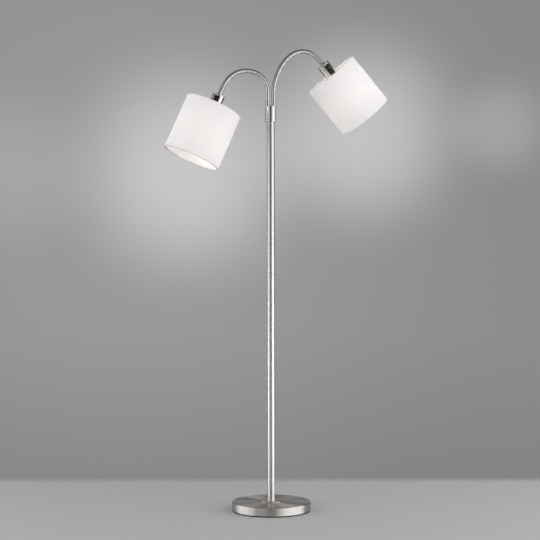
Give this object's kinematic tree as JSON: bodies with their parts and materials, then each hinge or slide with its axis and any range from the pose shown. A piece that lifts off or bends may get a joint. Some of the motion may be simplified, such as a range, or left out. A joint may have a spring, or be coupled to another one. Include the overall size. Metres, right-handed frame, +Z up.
{
  "type": "two-headed gooseneck floor lamp",
  "caption": "Free-standing floor lamp: round weighted base, slim pole in sections, collar with bendable necks, each ending in a switched socket cup and a white drum shade.",
  "frame": {"origin": "centre of the underside of the base pad, on the floor, on the pole's axis", "axes": "+Z up along the pole; the two necks lie in the XZ plane, the higher head on the +X side; the switches face -Y and the mains lead comes out at +Y"},
  "size_m": [0.726, 0.2516, 1.4723],
  "materials": {
    "satin_nickel": "satin brushed nickel plate",
    "cast_iron": "rough black cast iron",
    "black_pad": "matt foam pad",
    "black_rubber": "matt",
    "zinc_steel": "zinc plated",
    "lead_sheath": "smooth flexible sheath",
    "holder_plastic": "moulded white thermoplastic",
    "switch_black": "fine satin moulding",
    "rocker_black": "polished moulding",
    "brass": "bright stamped brass",
    "bulb_metal": "bright rolled thread",
    "opal_glass": "opal frosted",
    "white_wire": "white enamel",
    "shade_fabric": "white woven cloth on a stiff liner"
  },
  "bodies": {
    "lamp_stand": {"base_cover": "satin_nickel", "base_weight": "cast_iron", "base_pad": "black_pad", "cord_grommet": "black_rubber", "base_stud": "zinc_steel", "base_nut": "zinc_steel", "base_washer": "zinc_steel", "pole_lower": "satin_nickel", "pole_middle": "satin_nickel", "pole_upper": "satin_nickel", "pole_couplings": "zinc_steel", "pole_end_plugs": "zinc_steel", "mains_lead": "lead_sheath", "collar_shell": "satin_nickel", "collar_cap": "satin_nickel", "collar_screws": "zinc_steel", "collar_nipple": "zinc_steel", "wire_joiners": "holder_plastic"},
    "left_neck_1": {"left_neck_link_1": "satin_nickel", "left_neck_lead": "lead_sheath"},
    "left_neck_2": {"left_neck_link_2": "satin_nickel"},
    "left_neck_3": {"left_neck_link_3": "satin_nickel"},
    "left_neck_4": {"left_neck_link_4": "satin_nickel"},
    "left_neck_5": {"left_neck_link_5": "satin_nickel"},
    "left_neck_6": {"left_neck_link_6": "satin_nickel"},
    "left_head": {"left_neck_link_7": "satin_nickel", "left_socket_cup": "satin_nickel", "left_cup_nipple": "zinc_steel", "left_cup_nut": "zinc_steel", "left_switch_housing": "switch_black", "left_lampholder_body": "holder_plastic", "left_lampholder_contacts": "brass", "left_bulb_cap": "bulb_metal", "left_bulb_glass": "opal_glass", "left_shade_spider": "white_wire", "left_shade_ring": "holder_plastic", "left_shade_drum": "shade_fabric", "left_shade_bottom_wire": "white_wire"},
    "left_rocker": {"left_switch_rocker": "rocker_black"},
    "right_neck_1": {"right_neck_link_1": "satin_nickel", "right_neck_lead": "lead_sheath"},
    "right_neck_2": {"right_neck_link_2": "satin_nickel"},
    "right_neck_3": {"right_neck_link_3": "satin_nickel"},
    "right_neck_4": {"right_neck_link_4": "satin_nickel"},
    "right_neck_5": {"right_neck_link_5": "satin_nickel"},
    "right_neck_6": {"right_neck_link_6": "satin_nickel"},
    "right_head": {"right_neck_link_7": "satin_nickel", "right_socket_cup": "satin_nickel", "right_cup_nipple": "zinc_steel", "right_cup_nut": "zinc_steel", "right_switch_housing": "switch_black", "right_lampholder_body": "holder_plastic", "right_lampholder_contacts": "brass", "right_bulb_cap": "bulb_metal", "right_bulb_glass": "opal_glass", "right_shade_spider": "white_wire", "right_shade_ring": "holder_plastic", "right_shade_drum": "shade_fabric", "right_shade_bottom_wire": "white_wire"},
    "right_rocker": {"right_switch_rocker": "rocker_black"}
  },
  "joints": [
    {"name": "left_neck_swing", "type": "hinge", "parent": "lamp_stand", "child": "left_neck_1", "pos_m": [-0.0096, 0, 1.286], "axis": [0, 0, 1], "range_deg": [-40, 40]},
    {"name": "left_bend_1", "type": "hinge", "parent": "left_neck_1", "child": "left_neck_2", "pos_m": [-0.0096, 0, 1.326], "axis": [0, -1, 0], "range_deg": [-9.82, 2.03], "deforming": ["left_neck_lead"]},
    {"name": "left_bend_2", "type": "hinge", "parent": "left_neck_2", "child": "left_neck_3", "pos_m": [-0.01852, 0, 1.36464], "axis": [0, -1, 0], "range_deg": [-26.09, 5.41]},
    {"name": "left_bend_3", "type": "hinge", "parent": "left_neck_3", "child": "left_neck_4", "pos_m": [-0.04732, 0, 1.39104], "axis": [0, -1, 0], "range_deg": [-26.47, 5.49]},
    {"name": "left_bend_4", "type": "hinge", "parent": "left_neck_4", "child": "left_neck_5", "pos_m": [-0.08662, 0, 1.39621], "axis": [0, -1, 0], "range_deg": [-21.56, 4.48]},
    {"name": "left_bend_5", "type": "hinge", "parent": "left_neck_5", "child": "left_neck_6", "pos_m": [-0.12354, 0, 1.38204], "axis": [0, -1, 0], "range_deg": [-20.8, 4.32]},
    {"name": "left_bend_6", "type": "hinge", "parent": "left_neck_6", "child": "left_head", "pos_m": [-0.14983, 0, 1.35231], "axis": [0, -1, 0], "range_deg": [-11.36, 2.37]},
    {"name": "left_switch_press", "type": "hinge", "parent": "left_head", "child": "left_rocker", "pos_m": [-0.18181, -0.01659, 1.29765], "axis": [-0.8711, 0.301, 0.388], "range_deg": [0, 16]},
    {"name": "right_neck_swing", "type": "hinge", "parent": "lamp_stand", "child": "right_neck_1", "pos_m": [0.0096, 0, 1.286], "axis": [0, 0, 1], "range_deg": [-40, 40]},
    {"name": "right_bend_1", "type": "hinge", "parent": "right_neck_1", "child": "right_neck_2", "pos_m": [0.0096, 0, 1.32957], "axis": [0, 1, 0], "range_deg": [-6.35, 2.63], "deforming": ["right_neck_lead"]},
    {"name": "right_bend_2", "type": "hinge", "parent": "right_neck_2", "child": "right_neck_3", "pos_m": [0.01602, 0, 1.37251], "axis": [0, 1, 0], "range_deg": [-11.23, 4.66]},
    {"name": "right_bend_3", "type": "hinge", "parent": "right_neck_3", "child": "right_neck_4", "pos_m": [0.03335, 0, 1.41238], "axis": [0, 1, 0], "range_deg": [-11.6, 4.82]},
    {"name": "right_bend_4", "type": "hinge", "parent": "right_neck_4", "child": "right_neck_5", "pos_m": [0.06066, 0, 1.4461], "axis": [0, 1, 0], "range_deg": [-19.07, 7.91]},
    {"name": "right_bend_5", "type": "hinge", "parent": "right_neck_5", "child": "right_neck_6", "pos_m": [0.09945, 0, 1.4646], "axis": [0, 1, 0], "range_deg": [-29.16, 12.09]},
    {"name": "right_bend_6", "type": "hinge", "parent": "right_neck_6", "child": "right_head", "pos_m": [0.14073, 0, 1.45469], "axis": [0, 1, 0], "range_deg": [-21.69, 8.99]},
    {"name": "right_switch_press", "type": "hinge", "parent": "right_head", "child": "right_rocker", "pos_m": [0.18902, -0.01733, 1.40895], "axis": [-0.7517, -0.087, -0.6537], "range_deg": [0, 16]}
  ],
  "couplings": [
    {"joint": "left_bend_2", "follows": "left_bend_1", "ratio": 2.6538},
    {"joint": "left_bend_3", "follows": "left_bend_1", "ratio": 2.6923},
    {"joint": "left_bend_4", "follows": "left_bend_1", "ratio": 2.1923},
    {"joint": "left_bend_5", "follows": "left_bend_1", "ratio": 2.1154},
    {"joint": "left_bend_6", "follows": "left_bend_1", "ratio": 1.1538},
    {"joint": "right_bend_2", "follows": "right_bend_1", "ratio": 1.7647},
    {"joint": "right_bend_3", "follows": "right_bend_1", "ratio": 1.8235},
    {"joint": "right_bend_4", "follows": "right_bend_1", "ratio": 3},
    {"joint": "right_bend_5", "follows": "right_bend_1", "ratio": 4.5882},
    {"joint": "right_bend_6", "follows": "right_bend_1", "ratio": 3.4118}
  ]
}
